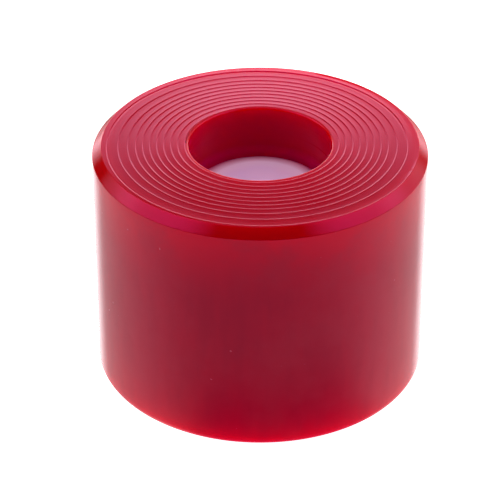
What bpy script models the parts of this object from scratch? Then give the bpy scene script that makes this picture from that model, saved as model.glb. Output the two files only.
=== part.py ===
"""Cylindrical cast-polyurethane buffer with a hard core cast into its bore.

Frame: +Z is the axis of the part, and the origin is the centre of its base.
The red body is one thick-walled ring with a faced and chamfered top and a moulded,
rounded bottom edge. The pale core fills the bore up to the floor of the top recess.
"""
import math

import bmesh
import bpy
from mathutils import Vector

# Body, in metres
BODY_RADIUS = 0.0400
BODY_HEIGHT = 0.0600
TOP_CHAMFER = 0.0022
BASE_ROUNDING = 0.0025
BORE_RADIUS = 0.0170
RIM_ROUNDING = 0.0009
BORE_BASE_CHAMFER = 0.0005

# Core, in metres
RECESS_DEPTH = 0.0125
CORE_CLEARANCE = 0.0003
CORE_TOP_ROUNDING = 0.0025
CORE_BASE_CHAMFER = 0.0005
CORE_HOLE_RADIUS = 0.0033
CORE_HOLE_CHAMFER = 0.0003

# Fineness of the turned shapes
TURN_SEGMENTS = 96
ARC_STEPS = 5
SHARP_ANGLE = math.radians(30)

BODY_COLOUR = (0.33, 0.008, 0.025, 1.0)
BODY_ROUGHNESS = 0.22
CORE_COLOUR = (0.62, 0.50, 0.66, 1.0)
CORE_ROUGHNESS = 0.45


def clear_scene():
    """Start from an empty scene."""
    for item in list(bpy.data.objects):
        bpy.data.objects.remove(item)


def plain_material(name, colour, roughness):
    """A Principled BSDF of one colour."""
    material = bpy.data.materials.new(name)
    material.use_nodes = True
    shader = material.node_tree.nodes["Principled BSDF"]
    shader.inputs["Base Color"].default_value = colour
    shader.inputs["Roughness"].default_value = roughness
    shader.inputs["Metallic"].default_value = 0.0
    material.diffuse_color = colour
    return material


def arc(centre_r, centre_z, radius, start_deg, end_deg):
    """Points (r, z) on an arc, both ends included."""
    points = []
    for step in range(ARC_STEPS + 1):
        angle = math.radians(start_deg + (end_deg - start_deg) * step / ARC_STEPS)
        points.append((centre_r + radius * math.cos(angle), centre_z + radius * math.sin(angle)))
    return points


def turned_piece(name, outline, material):
    """One closed ring: the outline, a closed loop of (r, z) points, spun round +Z."""
    bm = bmesh.new()
    loop = [bm.verts.new(Vector((r, 0.0, z))) for r, z in outline]
    edges = [bm.edges.new((loop[i], loop[(i + 1) % len(loop)])) for i in range(len(loop))]
    bmesh.ops.spin(
        bm,
        geom=loop + edges,
        cent=(0.0, 0.0, 0.0),
        axis=(0.0, 0.0, 1.0),
        angle=math.tau,
        steps=TURN_SEGMENTS,
        use_merge=True,
    )
    bmesh.ops.recalc_face_normals(bm, faces=bm.faces)
    mesh = bpy.data.meshes.new(name)
    bm.to_mesh(mesh)
    bm.free()
    mesh.shade_smooth()
    mesh.set_sharp_from_angle(angle=SHARP_ANGLE)
    mesh.materials.append(material)
    piece = bpy.data.objects.new(name, mesh)
    bpy.context.scene.collection.objects.link(piece)
    return piece


def body_outline():
    """Section of the body: chamfered top, rounded base, bore with a rounded rim."""
    outline = [
        (BODY_RADIUS - TOP_CHAMFER, BODY_HEIGHT),
        (BODY_RADIUS, BODY_HEIGHT - TOP_CHAMFER),
    ]
    outline += arc(BODY_RADIUS - BASE_ROUNDING, BASE_ROUNDING, BASE_ROUNDING, 0, -90)
    outline += [
        (BORE_RADIUS + BORE_BASE_CHAMFER, 0.0),
        (BORE_RADIUS, BORE_BASE_CHAMFER),
    ]
    outline += arc(BORE_RADIUS + RIM_ROUNDING, BODY_HEIGHT - RIM_ROUNDING, RIM_ROUNDING, 180, 90)
    return outline


def core_outline():
    """Section of the core: rounded shoulder at the recess floor, a through hole for a bolt."""
    radius = BORE_RADIUS - CORE_CLEARANCE
    top = BODY_HEIGHT - RECESS_DEPTH
    outline = [
        (CORE_HOLE_RADIUS, top - CORE_HOLE_CHAMFER),
        (CORE_HOLE_RADIUS + CORE_HOLE_CHAMFER, top),
    ]
    outline += arc(radius - CORE_TOP_ROUNDING, top - CORE_TOP_ROUNDING, CORE_TOP_ROUNDING, 90, 0)
    outline += [
        (radius, CORE_BASE_CHAMFER),
        (radius - CORE_BASE_CHAMFER, 0.0),
        (CORE_HOLE_RADIUS + CORE_HOLE_CHAMFER, 0.0),
        (CORE_HOLE_RADIUS, CORE_HOLE_CHAMFER),
    ]
    return outline


def make_urethane_body():
    """The cast red body."""
    material = plain_material("red_urethane", BODY_COLOUR, BODY_ROUGHNESS)
    return turned_piece("urethane_body", body_outline(), material)


def make_core_insert():
    """The pale hard core at the bottom of the recess."""
    material = plain_material("pale_core", CORE_COLOUR, CORE_ROUGHNESS)
    return turned_piece("core_insert", core_outline(), material)


def main():
    clear_scene()
    make_urethane_body()
    make_core_insert()


main()
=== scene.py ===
"""Looks of the polyurethane buffer: fine turned meshes, their materials, the studio and the camera."""
import math
from collections import namedtuple

import bmesh
import bpy
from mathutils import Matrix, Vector


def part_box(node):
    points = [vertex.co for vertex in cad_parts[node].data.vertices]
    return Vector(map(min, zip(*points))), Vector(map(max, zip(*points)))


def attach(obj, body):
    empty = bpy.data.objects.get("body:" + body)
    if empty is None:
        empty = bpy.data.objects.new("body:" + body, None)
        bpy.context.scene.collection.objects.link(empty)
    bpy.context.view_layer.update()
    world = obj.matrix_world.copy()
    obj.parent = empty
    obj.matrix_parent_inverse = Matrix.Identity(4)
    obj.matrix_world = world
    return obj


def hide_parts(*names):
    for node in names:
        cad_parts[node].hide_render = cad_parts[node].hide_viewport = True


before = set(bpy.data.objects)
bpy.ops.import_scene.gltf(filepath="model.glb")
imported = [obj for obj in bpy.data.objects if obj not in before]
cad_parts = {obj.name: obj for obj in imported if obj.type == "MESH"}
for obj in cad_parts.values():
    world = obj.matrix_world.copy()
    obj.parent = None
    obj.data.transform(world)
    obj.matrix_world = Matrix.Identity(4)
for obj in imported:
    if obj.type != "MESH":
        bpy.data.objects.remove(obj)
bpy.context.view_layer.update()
BODY_LOW, BODY_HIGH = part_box("urethane_body")

# Body, in metres: its radius, top and base are the CAD node's, and the rest repeats it with finer edges
BODY_RADIUS = (BODY_HIGH.x - BODY_LOW.x) / 2
TOP = BODY_HIGH.z
BASE = BODY_LOW.z
BORE_RADIUS = 0.0170
RIM_ROUNDING = 0.00055
TOP_CHAMFER = 0.0022
CHAMFER_TOP_ROUNDING = 0.00020
CHAMFER_LOW_ROUNDING = 0.00025
BASE_ROUNDING = 0.0025
BORE_BASE_CHAMFER = 0.0005

# The turned top face, from the rim of the recess to the chamfer, and how soon its relief fades in and out
FACE_START = 0.0176
FACE_RADIUS = BODY_RADIUS - TOP_CHAMFER - CHAMFER_TOP_ROUNDING * math.tan(math.pi / 8)
FACE_RISE = 0.00015
EDGE_FADE = 0.00010

# The spiral tool mark: a rounded step up towards the outside, then a hollow land down to the next step.
# The first turns are evenly spaced, the later ones spread, and one stretch near the edge is cut deeper.
SPIRAL_START = 0.0179
SPIRAL_FEED = 0.00167
SPIRAL_EVEN_TURNS = 7
SPIRAL_WIDENING = 0.00021
SPIRAL_TURNS = 12
STEP_HEIGHT = 0.00011
STEP_WIDTH = 0.00030
LAND_HOLLOW = 0.8
DEEP_TURN = 9.75
DEEP_SPAN = 0.4
DEEPER = 1.7

# Core, in metres
CORE_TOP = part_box("core_insert")[1].z
CORE_RADIUS = BORE_RADIUS - 0.00002
CORE_TOP_ROUNDING = 0.0025
CORE_HOLE_RADIUS = 0.0033
CORE_EDGE = 0.0004

# Where the colours change, in metres; most of these ramps place painted light or painted shade
# Painted light: the top of the side is lighter, as if light from the chamfer scattered down
SIDE_PAINTED_GLOW_START = TOP - 0.022
SIDE_PAINTED_GLOW_FULL = TOP - 0.002
# Painted light: the outer edge of the top face is lighter
OUTER_FACE_START = 0.0340
OUTER_FACE_FULL = 0.0372
# Painted light: the back half of the chamfer is lighter, standing for the light from behind
REAR_START = -0.002
REAR_FULL = 0.010
CHAMFER_SIDE_START = 0.030
CHAMFER_SIDE_FULL = 0.036
# Painted light at the foot of the recess wall, lifting the shade that falls there
WALL_FOOT_START = CORE_TOP + 0.0028
WALL_FOOT_FULL = CORE_TOP + 0.0002
# Painted light: the core is lighter towards its edge, making up for the shade that falls near the wall
CORE_PAINTED_LIGHT_START = 0.0092
# Painted shade and painted red bounce light at the core's edge, beside the dark red wall
CORE_PAINTED_SHADE_START = CORE_RADIUS - 0.0044
CORE_PAINTED_SHADE_FULL = CORE_RADIUS - 0.0014

SEGMENTS = 384
SHARP_ANGLE = math.radians(40)
MERGE_DISTANCE = 1e-6

# The body's four materials, in the order of their slots
SIDE, EDGE, FACE, BORE = range(4)

RED = (0.54, 0.0002, 0.002, 1.0)
LIGHTER_RED = (0.63, 0.0004, 0.003, 1.0)
# Painted light: a lighter copy of the red for the thin chamfer and rim, which take in more light
PAINTED_LIGHT_EDGE_RED = (0.65, 0.0004, 0.003, 1.0)
FACE_RED = (0.54, 0.0040, 0.018, 1.0)
LIGHTER_FACE_RED = (0.63, 0.0050, 0.021, 1.0)
# Painted light: a lighter red standing in for light scattered into the red near lit edges
PAINTED_GLOW_RED = (0.82, 0.0006, 0.004, 1.0)
BORE_RED = (0.58, 0.0003, 0.032, 1.0)
# Painted light: a lighter, pinker red for the foot of the recess wall
PAINTED_LIGHT_FOOT_RED = (0.77, 0.001, 0.120, 1.0)
HAZY_RED = (0.60, 0.0120, 0.016, 1.0)
DUSTY_RED = (0.9, 0.25, 0.3, 1.0)
SIDE_TINT = (1.0, 0.14, 0.42, 1.0)
FACE_TINT = (1.0, 0.0, 0.46, 1.0)
CUT_TINT = (1.0, 0.05, 0.33, 1.0)
BORE_TINT = (1.0, 0.0, 0.40, 1.0)
RED_IOR = 1.6
RED_GLOW_DEPTH = (0.0125, 0.0007, 0.0010)
LILAC = (0.90, 0.57, 0.97, 1.0)
WARM_LILAC = (0.95, 0.58, 0.94, 1.0)
# Painted light: a lighter lilac for the outer part of the core
PAINTED_LIGHT_LILAC = (1.0, 0.67, 1.0, 1.0)
# Painted shade with red bounce light, for the core's edge beside the wall
PAINTED_SHADE_LILAC = (0.48, 0.002, 0.135, 1.0)
WHITE = (1.0, 1.0, 1.0, 1.0)
OFF_WHITE = (0.9, 0.9, 0.9, 1.0)
BLACK = (0.0, 0.0, 0.0, 1.0)
SHADOW_MAGENTA = (1.0, 0.0, 0.5, 1.0)

# Camera: a long lens looking down at 30 degrees
CAMERA_ELEVATION = math.radians(30)
CAMERA_DISTANCE = 0.6114
CAMERA_LENS = 185.1
CAMERA_AIM = Vector((-0.0024, 0.0, 0.0299))

# Studio: the floor, and the card in front of the object that stands for its shadow there
FLOOR_SIZE = 6.0
FLOOR_GAP = 0.0001
WHITE_LEVEL = 1.1
SHADOW_SIZE = 0.24
SHADOW_GAP = 0.00005
SHADOW_LEVEL = 0.55
SHADOW_NEAR = 0.046
SHADOW_FAR = 0.082

# Softboxes: azimuth, elevation, full and fading radius in degrees, brightness
SOFTBOXES = [
    (-93, 42, 4, 36, 1.5),
    (93, 42, 4, 36, 1.5),
    (-68, 24, 3, 20, 0.7),
    (62, 18, 5, 30, 0.9),
    (-31, 0, 3, 14, 0.7),
    (0, 80, 12, 36, 0.7),
]
DIMMEST_LEVEL = 0.02

# Lights that only glow in the object: powers in watts, sizes in metres, and the spot's soft edge as a share
BEHIND_POWER = 0.044
BEHIND_WIDTH = 0.24
BEHIND_HEIGHT = 0.015
BOUNCE_POWER = 0.033
BOUNCE_WIDTH = 0.125
RECESS_POWER = 2.5
SPOT_HEIGHT = 0.40
SPOT_RADIUS = 0.016
SPOT_LAMP_RADIUS = 0.03
SPOT_BLEND = 0.4

Place = namedtuple("Place", "point x y z radius angle")


# ---------------------------------------------------------------- meshes


def arc(centre_r, centre_z, radius, start_deg, end_deg, steps):
    """Points (r, z) on an arc, both ends included."""
    points = []
    for step in range(steps + 1):
        angle = math.radians(start_deg + (end_deg - start_deg) * step / steps)
        points.append((centre_r + radius * math.cos(angle), centre_z + radius * math.sin(angle)))
    return points


def straight(start, end, steps):
    """Points between two (r, z) points, both ends left out."""
    points = []
    for step in range(1, steps):
        part = step / steps
        points.append((start[0] + (end[0] - start[0]) * part, start[1] + (end[1] - start[1]) * part))
    return points


def add_turned(bm, outline, material_index, closed=False):
    """Spins an outline of (r, z) points round +Z and gives the faces a material."""
    rings = []
    for r, z in outline:
        ring = []
        for segment in range(SEGMENTS):
            angle = math.tau * segment / SEGMENTS
            ring.append(bm.verts.new((r * math.cos(angle), r * math.sin(angle), z)))
        rings.append(ring)
    strips = len(rings) if closed else len(rings) - 1
    for row in range(strips):
        upper, lower = rings[row], rings[(row + 1) % len(rings)]
        for segment in range(SEGMENTS):
            after = (segment + 1) % SEGMENTS
            face = bm.faces.new((upper[segment], lower[segment], lower[after], upper[after]))
            face.material_index = material_index


def spiral_radius(turns):
    """Radius of the tool mark after some turns from its start beside the recess."""
    wide_turns = max(0.0, turns - SPIRAL_EVEN_TURNS)
    return SPIRAL_START + SPIRAL_FEED * turns + SPIRAL_WIDENING * wide_turns**2


def land_profile():
    """Points from one mark to the next: (share of the gap, offset from there in step half-widths)."""
    step = [(0.0, half_widths) for half_widths in (-1.0, -0.6, 0.0, 0.6, 1.0, 1.4)]
    return step + [(0.35, 0.0), (0.7, 0.0), (1.0, -1.4)]


def land_height(from_mark, gap):
    """Height over the face's mid level: a rounded step up at the mark, then a hollow land down."""
    if abs(from_mark) <= STEP_WIDTH / 2:
        part = from_mark / STEP_WIDTH
        return STEP_HEIGHT * part * (1.5 - 2.0 * part * part)
    part = (from_mark - STEP_WIDTH / 2) / (gap - STEP_WIDTH)
    return STEP_HEIGHT * (0.5 - part - LAND_HOLLOW * part * (1.0 - part))


def face_point(turns, profile_point):
    """A point (r, z) of the faced top, level with the rims at both ends of the face."""
    share, half_widths = profile_point
    inner = spiral_radius(turns)
    gap = spiral_radius(turns + 1.0) - inner
    from_mark = gap * share + half_widths * STEP_WIDTH / 2
    r = min(max(inner + from_mark, FACE_START), FACE_RADIUS)
    fade = min((r - FACE_START) / FACE_RISE, (FACE_RADIUS - r) / EDGE_FADE, 1.0)
    depth = 1.0 + (DEEPER - 1.0) * max(1.0 - abs(turns - DEEP_TURN) / DEEP_SPAN, 0.0)
    return r, TOP + land_height(from_mark, gap) * depth * fade * fade * (3.0 - 2.0 * fade)


def spiral_row(bm, row):
    """Vertices across one turn of the spiral, at one of its angles."""
    angle = math.tau * (row % SEGMENTS) / SEGMENTS
    turns = row / SEGMENTS - 1.0
    vertices = []
    for profile_point in land_profile():
        r, z = face_point(turns, profile_point)
        vertices.append(bm.verts.new((-r * math.cos(angle), -r * math.sin(angle), z)))
    return vertices


def add_spiral_face(bm, material_index):
    """The top face, as one long strip wound from a turn before the first mark to a turn after the last.

    Points that would lie beyond the face are held at its edge, and merge there later.
    """
    strips = (SPIRAL_TURNS + 2) * SEGMENTS
    grid = [spiral_row(bm, row) for row in range(strips + SEGMENTS + 1)]
    for row in range(strips):
        here = grid[row] + [grid[row + SEGMENTS][0]]
        after = grid[row + 1] + [grid[row + SEGMENTS + 1][0]]
        for column in range(len(here) - 1):
            corners = (here[column], here[column + 1], after[column + 1], after[column])
            face = bm.faces.new(corners)
            face.material_index = material_index


def chamfer_arcs():
    """The small arcs that round the upper and the lower edge of the chamfer."""
    lower_z = TOP - TOP_CHAMFER - CHAMFER_LOW_ROUNDING * math.tan(math.pi / 8)
    upper = arc(FACE_RADIUS, TOP - CHAMFER_TOP_ROUNDING, CHAMFER_TOP_ROUNDING, 90, 45, steps=4)
    lower = arc(BODY_RADIUS - CHAMFER_LOW_ROUNDING, lower_z, CHAMFER_LOW_ROUNDING, 45, 0, steps=4)
    return upper, lower


def body_outlines():
    """The outlines of the body that are turned, each with its material."""
    upper, lower = chamfer_arcs()
    base_edge = arc(BODY_RADIUS - BASE_ROUNDING, BASE + BASE_ROUNDING, BASE_ROUNDING, 0, -90, steps=10)
    bore_foot = (BORE_RADIUS + BORE_BASE_CHAMFER, BASE)
    bore_low = (BORE_RADIUS, BASE + BORE_BASE_CHAMFER)
    rim = arc(BORE_RADIUS + RIM_ROUNDING, TOP - RIM_ROUNDING, RIM_ROUNDING, 180, 90, steps=8)
    chamfer = upper + straight(upper[-1], lower[0], steps=4) + lower
    side = [lower[-1]] + straight(lower[-1], base_edge[0], steps=24) + base_edge
    base = [base_edge[-1]] + straight(base_edge[-1], bore_foot, steps=6) + [bore_foot, bore_low]
    bore = [bore_low] + straight(bore_low, rim[0], steps=24) + [rim[0]]
    rim_and_face = rim + [(FACE_START, TOP)]
    return [(chamfer, EDGE), (side, SIDE), (base, SIDE), (bore, BORE), (rim_and_face, EDGE)]


def make_body_mesh():
    """The whole outside of the red body as one closed mesh with four materials."""
    bm = bmesh.new()
    for outline, material_index in body_outlines():
        add_turned(bm, outline, material_index)
    add_spiral_face(bm, FACE)
    bmesh.ops.remove_doubles(bm, verts=bm.verts, dist=MERGE_DISTANCE)
    return finished_mesh(bm, "urethane_body_skin")


def make_core_mesh():
    """The pale core: rounded shoulder, bolt hole with broken edges, flush base."""
    shoulder_r = CORE_RADIUS - CORE_TOP_ROUNDING
    shoulder_z = CORE_TOP - CORE_TOP_ROUNDING
    hole_r = CORE_HOLE_RADIUS + CORE_EDGE
    shoulder = arc(shoulder_r, shoulder_z, CORE_TOP_ROUNDING, 90, 0, steps=12)
    base_edge = arc(CORE_RADIUS - CORE_EDGE, BASE + CORE_EDGE, CORE_EDGE, 0, -90, steps=5)
    hole_low = arc(hole_r, BASE + CORE_EDGE, CORE_EDGE, 270, 180, steps=5)
    hole_top = arc(hole_r, CORE_TOP - CORE_EDGE, CORE_EDGE, 180, 90, steps=5)
    outline = hole_top + straight(hole_top[-1], shoulder[0], steps=12) + shoulder
    outline += straight(shoulder[-1], base_edge[0], steps=8) + base_edge
    outline += straight(base_edge[-1], hole_low[0], steps=8) + hole_low
    outline += straight(hole_low[-1], hole_top[0], steps=8)
    bm = bmesh.new()
    add_turned(bm, outline, 0, closed=True)
    return finished_mesh(bm, "core_insert_skin")


def finished_mesh(bm, name):
    """A smooth-shaded mesh, facing outwards, whose real corners stay sharp."""
    bmesh.ops.recalc_face_normals(bm, faces=bm.faces)
    mesh = bpy.data.meshes.new(name)
    bm.to_mesh(mesh)
    bm.free()
    mesh.shade_smooth()
    mesh.set_sharp_from_angle(angle=SHARP_ANGLE)
    return mesh


# ---------------------------------------------------------------- materials


class Nodes:
    """A small helper that adds and joins shader nodes."""

    def __init__(self, tree):
        self.tree = tree

    def add(self, kind, **settings):
        """A new node with some of its settings changed."""
        node = self.tree.nodes.new(kind)
        for key, value in settings.items():
            setattr(node, key, value)
        return node

    def join(self, source, target):
        """A link from an output to an input."""
        self.tree.links.new(source, target)

    def feed(self, socket, value):
        """Sets a socket to a number or colour, or joins another socket to it."""
        if isinstance(value, bpy.types.NodeSocket):
            self.join(value, socket)
        else:
            socket.default_value = value

    def math(self, operation, first, second=0.0):
        """The result of a sum on one or two numbers."""
        node = self.add("ShaderNodeMath", operation=operation)
        self.feed(node.inputs[0], first)
        self.feed(node.inputs[1], second)
        return node.outputs[0]

    def times(self, first, second):
        """The product of two numbers."""
        return self.math("MULTIPLY", first, second)

    def plus(self, first, second):
        """The sum of two numbers."""
        return self.math("ADD", first, second)

    def ramp(self, value, low, high, to_low=0.0, to_high=1.0, smooth=True):
        """A value that goes from to_low to to_high as another goes from low to high."""
        node = self.add("ShaderNodeMapRange")
        node.interpolation_type = "SMOOTHSTEP" if smooth else "LINEAR"
        self.feed(node.inputs["Value"], value)
        self.feed(node.inputs["From Min"], low)
        self.feed(node.inputs["From Max"], high)
        self.feed(node.inputs["To Min"], to_low)
        self.feed(node.inputs["To Max"], to_high)
        return node.outputs["Result"]

    def noise(self, vector, scale, detail=2.0, roughness=0.5):
        """Soft random values, mostly from 0.3 to 0.7."""
        node = self.add("ShaderNodeTexNoise")
        self.feed(node.inputs["Vector"], vector)
        self.feed(node.inputs["Scale"], scale)
        self.feed(node.inputs["Detail"], detail)
        self.feed(node.inputs["Roughness"], roughness)
        return node.outputs["Fac"]

    def vector(self, x, y, z):
        """A vector made of three numbers."""
        node = self.add("ShaderNodeCombineXYZ")
        self.feed(node.inputs[0], x)
        self.feed(node.inputs[1], y)
        self.feed(node.inputs[2], z)
        return node.outputs[0]

    def mix_colour(self, factor, first, second):
        """A colour between two others; the node's colour sockets are inputs 6 and 7 and output 2."""
        node = self.add("ShaderNodeMix", data_type="RGBA")
        self.feed(node.inputs["Factor"], factor)
        self.feed(node.inputs[6], first)
        self.feed(node.inputs[7], second)
        return node.outputs[2]

    def bump(self, height, distance, normal=None):
        """A normal bent by a height, on top of another bump where one is given."""
        node = self.add("ShaderNodeBump")
        self.feed(node.inputs["Height"], height)
        self.feed(node.inputs["Strength"], 1.0)
        self.feed(node.inputs["Distance"], distance)
        if normal is not None:
            self.join(normal, node.inputs["Normal"])
        return node.outputs[0]

    def length(self, x, y):
        """The distance of (x, y) from the origin."""
        return self.math("SQRT", self.plus(self.times(x, x), self.times(y, y)))


def new_material(name):
    """A new Principled material, its helper and its shader node."""
    material = bpy.data.materials.new(name)
    material.use_nodes = True
    return material, Nodes(material.node_tree), material.node_tree.nodes["Principled BSDF"]


def shaded_place(nodes):
    """The shaded point in its object's metres: point, x, y, z, radius, and angle round +Z in radians."""
    point = nodes.add("ShaderNodeTexCoord").outputs["Object"]
    split = nodes.add("ShaderNodeSeparateXYZ")
    nodes.join(point, split.inputs[0])
    x, y, z = split.outputs
    return Place(point, x, y, z, nodes.length(x, y), nodes.math("ARCTAN2", y, x))


def red_shader(name, roughness, tint):
    """The red polyurethane shared by every face of the body."""
    material, nodes, shader = new_material(name)
    shader.inputs["Base Color"].default_value = RED
    shader.inputs["Roughness"].default_value = roughness
    shader.inputs["IOR"].default_value = RED_IOR
    shader.inputs["Specular IOR Level"].default_value = 1.0
    shader.inputs["Specular Tint"].default_value = tint
    shader.inputs["Subsurface Weight"].default_value = 1.0
    shader.inputs["Subsurface Radius"].default_value = RED_GLOW_DEPTH
    shader.inputs["Subsurface Scale"].default_value = 1.0
    return material, nodes, shader


def side_colour(nodes, at, flow):
    """Cloudy red with streaks, painted light near the top edge, haze and a few specks of dust."""
    streak_point = nodes.vector(nodes.times(at.angle, 14.0), nodes.times(at.z, 60.0), 0.0)
    streaks = nodes.noise(streak_point, scale=1.0, detail=3.0)
    clouds = nodes.plus(nodes.times(flow, 0.6), nodes.times(streaks, 0.4))
    # painted light: the side is lighter towards its top edge
    glow = nodes.ramp(at.z, SIDE_PAINTED_GLOW_START, SIDE_PAINTED_GLOW_FULL)
    haze = nodes.noise(at.point, scale=60.0, detail=5.0, roughness=0.6)
    specks = nodes.noise(at.point, scale=900.0, detail=0.0)
    colour = nodes.mix_colour(nodes.ramp(clouds, 0.35, 0.65), RED, LIGHTER_RED)
    colour = nodes.mix_colour(glow, colour, PAINTED_GLOW_RED)
    colour = nodes.mix_colour(nodes.ramp(haze, 0.42, 0.68, to_high=0.6), colour, HAZY_RED)
    return nodes.mix_colour(nodes.times(nodes.ramp(specks, 0.86, 0.90), 0.5), colour, DUSTY_RED)


def side_material():
    """Moulded side and base: glossy and very slightly wavy."""
    material, nodes, shader = red_shader("urethane_moulded", 0.12, SIDE_TINT)
    at = shaded_place(nodes)
    flow_point = nodes.vector(at.angle, nodes.times(at.z, 18.0), at.radius)
    flow = nodes.noise(flow_point, scale=2.2, detail=3.0)
    fine = nodes.noise(at.point, scale=420.0, detail=3.0)
    waves = nodes.bump(flow, 0.00010)
    nodes.join(side_colour(nodes, at, flow), shader.inputs["Base Color"])
    nodes.join(nodes.ramp(fine, 0.2, 0.8, 0.09, 0.16), shader.inputs["Roughness"])
    nodes.join(nodes.bump(fine, 0.000002, waves), shader.inputs["Normal"])
    return material


def face_material():
    """Turned top face: less glossy, finely ringed, with the radial chatter of the tool, and painted light
    towards its outer edge.
    """
    material, nodes, shader = red_shader("urethane_turned", 0.17, FACE_TINT)
    shader.inputs["Subsurface Weight"].default_value = 0.45
    at = shaded_place(nodes)
    rings = nodes.noise(nodes.vector(at.radius, 0.0, 0.0), scale=5200.0, detail=2.0, roughness=0.6)
    chatter_point = nodes.vector(nodes.times(at.angle, 60.0), nodes.times(at.radius, 500.0), 0.0)
    chatter = nodes.noise(chatter_point, scale=1.0, detail=1.0)
    cloud = nodes.noise(at.point, scale=120.0, detail=3.0)
    # painted light: the face is lighter towards its outer edge
    outer = nodes.ramp(at.radius, OUTER_FACE_START, OUTER_FACE_FULL, to_high=0.3)
    colour = nodes.mix_colour(nodes.ramp(rings, 0.3, 0.7), FACE_RED, LIGHTER_FACE_RED)
    nodes.join(nodes.mix_colour(outer, colour, PAINTED_GLOW_RED), shader.inputs["Base Color"])
    nodes.join(nodes.ramp(cloud, 0.3, 0.7, 0.15, 0.20), shader.inputs["Roughness"])
    ringed = nodes.bump(rings, 0.0000025)
    nodes.join(nodes.bump(chatter, 0.000005, ringed), shader.inputs["Normal"])
    return material


def edge_material():
    """Chamfer and rim: cut with a sharp tool, glossy, in a lighter red for the light they take in, with
    painted light on the back half of the chamfer.
    """
    material, nodes, shader = red_shader("urethane_chamfer", 0.14, CUT_TINT)
    at = shaded_place(nodes)
    lines = nodes.noise(nodes.vector(at.z, 0.0, 0.0), scale=9000.0, detail=1.0)
    cloud = nodes.noise(at.point, scale=180.0, detail=2.0)
    # painted light on the back half of the chamfer, the same from every side
    rear = nodes.ramp(at.y, REAR_START, REAR_FULL)
    on_chamfer = nodes.ramp(at.radius, CHAMFER_SIDE_START, CHAMFER_SIDE_FULL)
    colour = nodes.mix_colour(nodes.times(rear, on_chamfer), PAINTED_LIGHT_EDGE_RED, PAINTED_GLOW_RED)
    nodes.join(colour, shader.inputs["Base Color"])
    nodes.join(nodes.ramp(cloud, 0.3, 0.7, 0.06, 0.11), shader.inputs["Roughness"])
    nodes.join(nodes.bump(lines, 0.000001), shader.inputs["Normal"])
    return material


def bore_material():
    """Wall of the recess: smooth, with faint drag lines round it, and lighter and pinker at its foot,
    painted light against the shade that falls there.
    """
    material, nodes, shader = red_shader("urethane_bore", 0.28, BORE_TINT)
    shader.inputs["Specular IOR Level"].default_value = 0.12
    at = shaded_place(nodes)
    line_point = nodes.vector(at.z, nodes.times(at.angle, 0.0002), 0.0)
    lines = nodes.noise(line_point, scale=4000.0, detail=2.0)
    # painted light lifting the shade at the foot of the wall
    foot = nodes.ramp(at.z, WALL_FOOT_START, WALL_FOOT_FULL)
    nodes.join(nodes.mix_colour(foot, BORE_RED, PAINTED_LIGHT_FOOT_RED), shader.inputs["Base Color"])
    nodes.join(nodes.ramp(lines, 0.3, 0.7, 0.27, 0.31), shader.inputs["Roughness"])
    nodes.join(nodes.bump(lines, 0.0000002), shader.inputs["Normal"])
    return material


def core_material():
    """Pale lilac satin plastic, faintly ringed and clouded, with painted light lifting it outwards and
    painted shade with red bounce light darkening its edge by the wall.
    """
    material, nodes, shader = new_material("pale_core_satin")
    at = shaded_place(nodes)
    rings = nodes.noise(nodes.vector(at.radius, 0.0, 0.0), scale=2600.0, detail=2.0)
    cloud = nodes.noise(at.point, scale=160.0, detail=4.0)
    # painted light, lifting the core towards its edge against the shade from the wall
    bright = nodes.ramp(at.radius, CORE_PAINTED_LIGHT_START, CORE_PAINTED_SHADE_START)
    # painted shade with red bounce light, darkest at the edge by the wall
    painted_shade = nodes.ramp(at.radius, CORE_PAINTED_SHADE_START, CORE_PAINTED_SHADE_FULL, smooth=False)
    colour = nodes.mix_colour(nodes.ramp(cloud, 0.3, 0.7), LILAC, WARM_LILAC)
    colour = nodes.mix_colour(bright, colour, PAINTED_LIGHT_LILAC)
    nodes.join(nodes.mix_colour(painted_shade, colour, PAINTED_SHADE_LILAC), shader.inputs["Base Color"])
    nodes.join(nodes.ramp(cloud, 0.25, 0.75, 0.38, 0.50), shader.inputs["Roughness"])
    nodes.join(nodes.bump(rings, 0.000003), shader.inputs["Normal"])
    return material


# ---------------------------------------------------------------- object, studio and camera


def make_piece(mesh, node, materials):
    """A visible piece that stands for one CAD node."""
    for material in materials:
        mesh.materials.append(material)
    piece = bpy.data.objects.new(mesh.name, mesh)
    bpy.context.scene.collection.objects.link(piece)
    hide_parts(node)
    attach(piece, "root")
    return piece


def hide_from(thing, *rays):
    """Hides a thing from some kinds of ray."""
    for ray in rays:
        setattr(thing, "visible_" + ray, False)


def make_plane(name, size, z, material):
    """A level square plane, centred on the Z axis."""
    bpy.ops.mesh.primitive_plane_add(size=size, location=(0.0, 0.0, z))
    plane = bpy.context.active_object
    plane.name = name
    plane.data.materials.append(material)
    return plane


def make_floor():
    """A plain white floor, bright enough to leave no shadow."""
    material, _, shader = new_material("floor_white")
    shader.inputs["Base Color"].default_value = OFF_WHITE
    shader.inputs["Roughness"].default_value = 0.8
    shader.inputs["Emission Color"].default_value = WHITE
    shader.inputs["Emission Strength"].default_value = WHITE_LEVEL
    floor = make_plane("studio_floor", FLOOR_SIZE, BASE - FLOOR_GAP, material)
    hide_from(floor, "glossy", "diffuse", "transmission", "shadow")


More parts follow.
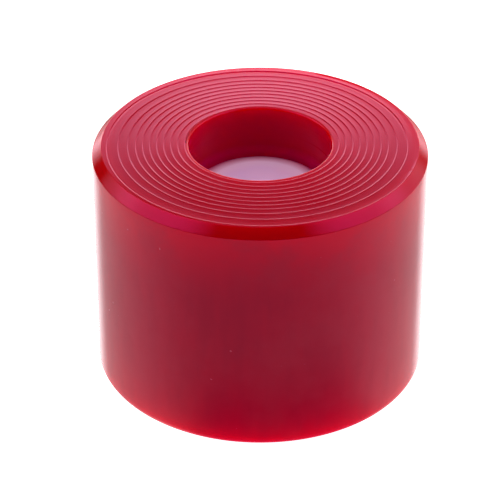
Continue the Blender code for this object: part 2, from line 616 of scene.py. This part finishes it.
def make_front_shadow():
    """The object's soft shadow on the floor in front of it, seen only as a reflection in the side."""
    material, nodes, shader = new_material("shadow_dark")
    at = shaded_place(nodes)
    forward = nodes.plus(nodes.times(at.x, 0.15), nodes.times(at.y, -0.99))
    frontness = nodes.math("DIVIDE", forward, nodes.math("MAXIMUM", at.radius, 0.001))
    in_front = nodes.ramp(frontness, 0.68, 0.96, to_high=0.9)
    near = nodes.ramp(at.radius, SHADOW_FAR, SHADOW_NEAR)
    shader.inputs["Base Color"].default_value = BLACK
    shader.inputs["Specular IOR Level"].default_value = 0.0
    shader.inputs["Emission Color"].default_value = SHADOW_MAGENTA
    shader.inputs["Emission Strength"].default_value = SHADOW_LEVEL
    nodes.join(nodes.times(in_front, near), shader.inputs["Alpha"])
    shadow = make_plane("front_shadow", SHADOW_SIZE, BASE - SHADOW_GAP, material)
    hide_from(shadow, "camera", "diffuse", "transmission", "shadow")


def toward(azimuth_deg, elevation_deg):
    """Unit vector; azimuth 0 is +Y, behind the object, and 90 is +X."""
    azimuth, elevation = math.radians(azimuth_deg), math.radians(elevation_deg)
    flat = math.cos(elevation)
    return Vector((math.sin(azimuth) * flat, math.cos(azimuth) * flat, math.sin(elevation)))


def softbox(nodes, direction, aim, inner_deg, outer_deg, level):
    """A soft round patch of light in the sky round an aim direction."""
    product = nodes.add("ShaderNodeVectorMath", operation="DOT_PRODUCT")
    nodes.join(direction, product.inputs[0])
    product.inputs[1].default_value = aim.normalized()
    low, high = math.cos(math.radians(outer_deg)), math.cos(math.radians(inner_deg))
    return nodes.ramp(product.outputs["Value"], low, high, to_high=level)


def ground_light(nodes, x, z, backness):
    """The table: dim in front, brighter at the sides and back, with a darker far edge.

    x and z belong to a unit direction, and backness is 1 behind the object and -1 in front of it.
    """
    sides = nodes.ramp(backness, -1.0, 0.2, 0.50, 0.80)
    far_edge = nodes.times(nodes.ramp(backness, 0.93, 0.985, to_high=0.75), nodes.ramp(z, -0.48, -0.38))
    sides = nodes.times(sides, nodes.math("SUBTRACT", 1.0, far_edge))
    sides = nodes.times(sides, nodes.ramp(x, -1.0, 1.0, 0.98, 1.05))
    near_back = nodes.times(nodes.ramp(backness, 0.74, 0.94, to_high=0.9), nodes.ramp(z, -0.35, -0.52))
    return nodes.times(nodes.plus(sides, near_back), nodes.ramp(z, 0.02, -0.12))


def backdrop_light(nodes, z, backness):
    """The bright backdrop behind the object, from the table's far edge upwards."""
    backdrop = nodes.times(nodes.ramp(backness, 0.76, 0.92, to_high=1.7), nodes.ramp(z, 0.65, 0.29))
    return nodes.times(backdrop, nodes.ramp(z, -0.20, 0.0))


def tent_light(nodes):
    """Brightness of the light tent in every direction."""
    direction = nodes.add("ShaderNodeTexCoord").outputs["Generated"]
    split = nodes.add("ShaderNodeSeparateXYZ")
    nodes.join(direction, split.inputs[0])
    x, y, z = split.outputs
    backness = nodes.math("DIVIDE", y, nodes.math("MAXIMUM", nodes.length(x, y), 0.001))
    total = nodes.plus(ground_light(nodes, x, z, backness), backdrop_light(nodes, z, backness))
    for azimuth, elevation, inner, outer, level in SOFTBOXES:
        patch = softbox(nodes, direction, toward(azimuth, elevation), inner, outer, level)
        total = nodes.plus(total, patch)
    return nodes.plus(total, DIMMEST_LEVEL)


def background(nodes, strength):
    """A white background of some strength."""
    node = nodes.add("ShaderNodeBackground")
    node.inputs["Color"].default_value = WHITE
    nodes.feed(node.inputs["Strength"], strength)
    return node.outputs[0]


def make_studio_light():
    """A light tent round the object, which the camera itself sees as plain white."""
    world = bpy.data.worlds.new("light_tent")
    bpy.context.scene.world = world
    world.use_nodes = True
    world.node_tree.nodes.clear()
    nodes = Nodes(world.node_tree)
    choice = nodes.add("ShaderNodeMixShader")
    nodes.join(nodes.add("ShaderNodeLightPath").outputs["Is Camera Ray"], choice.inputs[0])
    nodes.join(background(nodes, tent_light(nodes)), choice.inputs[1])
    nodes.join(background(nodes, WHITE_LEVEL), choice.inputs[2])
    output = nodes.add("ShaderNodeOutputWorld")
    nodes.join(choice.outputs[0], output.inputs[0])


def add_light(name, kind, power, location, target):
    """A light that only glows in the object and is never mirrored in it."""
    data = bpy.data.lights.new(name, kind)
    data.energy = power
    light = bpy.data.objects.new(name, data)
    bpy.context.scene.collection.objects.link(light)
    light.location = location
    light.rotation_euler = (Vector(target) - Vector(location)).to_track_quat("-Z", "Y").to_euler()
    hide_from(light, "camera", "glossy")
    return data


def make_glow_lights():
    """Light close behind the top edge, light bounced up from the table, and light into the recess."""
    behind_place = (0.016, 0.062, TOP + 0.02)
    behind = add_light("behind", "AREA", BEHIND_POWER, behind_place, target=(0.008, 0.03, TOP))
    behind.shape = "RECTANGLE"
    behind.size = BEHIND_WIDTH
    behind.size_y = BEHIND_HEIGHT
    bounce_place = (0.0, 0.012, BASE - 0.003)
    bounce = add_light("bounce", "AREA", BOUNCE_POWER, bounce_place, target=(0.0, 0.012, BASE))
    bounce.shape = "DISK"
    bounce.size = BOUNCE_WIDTH
    spot_place = (0.0, -0.06, TOP + SPOT_HEIGHT)
    recess = add_light("recess", "SPOT", RECESS_POWER, spot_place, target=(0.0, 0.004, CORE_TOP))
    recess.spot_size = 2.0 * math.atan(SPOT_RADIUS / SPOT_HEIGHT)
    recess.spot_blend = SPOT_BLEND
    recess.shadow_soft_size = SPOT_LAMP_RADIUS


def make_camera():
    """A long lens, looking down at 30 degrees on the top face."""
    data = bpy.data.cameras.new("camera")
    data.lens = CAMERA_LENS
    data.sensor_width = 36.0
    data.clip_start = 0.01
    data.clip_end = 20.0
    camera = bpy.data.objects.new("camera", data)
    bpy.context.scene.collection.objects.link(camera)
    flat = CAMERA_DISTANCE * math.cos(CAMERA_ELEVATION)
    camera.location = (0.0, -flat, TOP + CAMERA_DISTANCE * math.sin(CAMERA_ELEVATION))
    camera.rotation_euler = (CAMERA_AIM - camera.location).to_track_quat("-Z", "Y").to_euler()
    bpy.context.scene.camera = camera


make_camera()
make_floor()
make_front_shadow()
make_studio_light()
make_glow_lights()
make_piece(
    make_body_mesh(),
    "urethane_body",
    [side_material(), edge_material(), face_material(), bore_material()],
)
make_piece(make_core_mesh(), "core_insert", [core_material()])
bpy.context.scene.view_settings.view_transform = "Standard"
